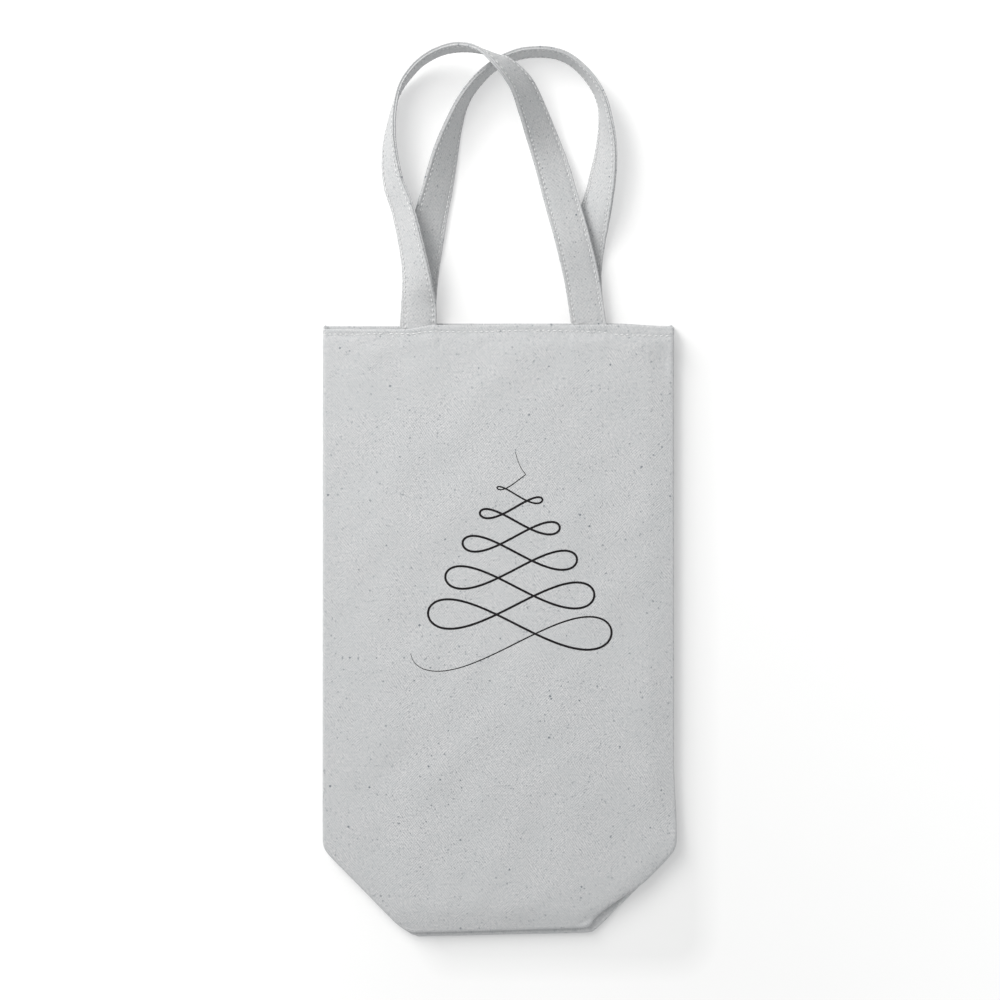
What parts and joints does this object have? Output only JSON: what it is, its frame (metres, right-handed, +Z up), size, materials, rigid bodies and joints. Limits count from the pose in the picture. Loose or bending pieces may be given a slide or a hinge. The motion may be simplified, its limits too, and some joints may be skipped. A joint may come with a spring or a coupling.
{
  "type": "wine gift bag",
  "caption": "Flat-folded cotton canvas bottle bag with two stitched strap handles, a gusseted bellows base, a turned hem and a looped-line tree print.",
  "frame": {"origin": "under the middle of the bag's whole outline, on the surface that its back lies on", "axes": "+Z up out of the front face, +Y along the bag from the base to the handles, +X to the right as seen from the front"},
  "size_m": [0.175, 0.4413, 0.0361],
  "materials": {
    "canvas": "plain matt cotton canvas with fine flecks",
    "hem": "turned canvas hem",
    "strap": "folded and topstitched canvas strap",
    "thread": "matt spun sewing thread",
    "print": "matt screen-print ink"
  },
  "bodies": {
    "root": {"back_panel": "canvas", "front_foot_panel": "canvas", "base_front_half": "canvas", "base_back_half": "canvas", "front_corner_gussets": "canvas", "back_corner_gussets": "canvas", "base_seam": "thread", "front_corner_seams": "thread", "back_corner_seams": "thread", "back_hem": "hem", "back_hem_stitching": "thread", "back_handle_ends": "strap"},
    "front": {"front_panel": "canvas", "front_hem": "hem", "front_hem_stitching": "thread", "front_handle_ends": "strap", "tree_print": "print"},
    "back_left_side": {"back_left_side_panel": "canvas", "back_left_side_wall": "canvas", "back_left_side_hem": "hem", "back_left_hem_stitching": "thread", "left_side_seam": "thread"},
    "back_right_side": {"back_right_side_panel": "canvas", "back_right_side_wall": "canvas", "back_right_side_hem": "hem", "back_right_hem_stitching": "thread", "right_side_seam": "thread"},
    "front_left_side": {"front_left_side_panel": "canvas", "front_left_side_wall": "canvas", "front_left_side_hem": "hem", "front_left_hem_stitching": "thread"},
    "front_right_side": {"front_right_side_panel": "canvas", "front_right_side_wall": "canvas", "front_right_side_hem": "hem", "front_right_hem_stitching": "thread"},
    "front_handle": {"front_handle": "strap", "front_handle_topstitch": "thread"},
    "back_handle": {"back_handle": "strap", "back_handle_topstitch": "thread"}
  },
  "joints": [
    {"name": "mouth_open", "type": "hinge", "parent": "root", "child": "front", "pos_m": [0, -0.17675, 0.00765], "axis": [1, 0, 0], "range_deg": [0, 9]},
    {"name": "back_left_side_fold", "type": "hinge", "parent": "root", "child": "back_left_side", "pos_m": [-0.0875, -0.17675, 0.00035], "axis": [0.1202, 0.9928, 0], "range_deg": [0, 38]},
    {"name": "back_right_side_fold", "type": "hinge", "parent": "root", "child": "back_right_side", "pos_m": [0.0875, -0.17675, 0.00035], "axis": [-0.1202, 0.9928, 0], "range_deg": [-38, 0]},
    {"name": "front_left_side_fold", "type": "hinge", "parent": "front", "child": "front_left_side", "pos_m": [-0.0875, -0.17675, 0.00765], "axis": [0.1202, 0.9928, 0], "range_deg": [-38, 0]},
    {"name": "front_right_side_fold", "type": "hinge", "parent": "front", "child": "front_right_side", "pos_m": [0.0875, -0.17675, 0.00765], "axis": [-0.1202, 0.9928, 0], "range_deg": [0, 38]},
    {"name": "front_handle_flop", "type": "hinge", "parent": "front", "child": "front_handle", "pos_m": [0, 0.0848, 0.008], "axis": [1, 0, 0], "range_deg": [0, 150]},
    {"name": "back_handle_flop", "type": "hinge", "parent": "root", "child": "back_handle", "pos_m": [0, 0.0848, 0], "axis": [1, 0, 0], "range_deg": [-150, 0]}
  ],
  "couplings": [
    {"joint": "back_left_side_fold", "follows": "mouth_open", "ratio": 4.2},
    {"joint": "back_right_side_fold", "follows": "mouth_open", "ratio": -4.2},
    {"joint": "front_left_side_fold", "follows": "mouth_open", "ratio": -4.2},
    {"joint": "front_right_side_fold", "follows": "mouth_open", "ratio": 4.2}
  ]
}
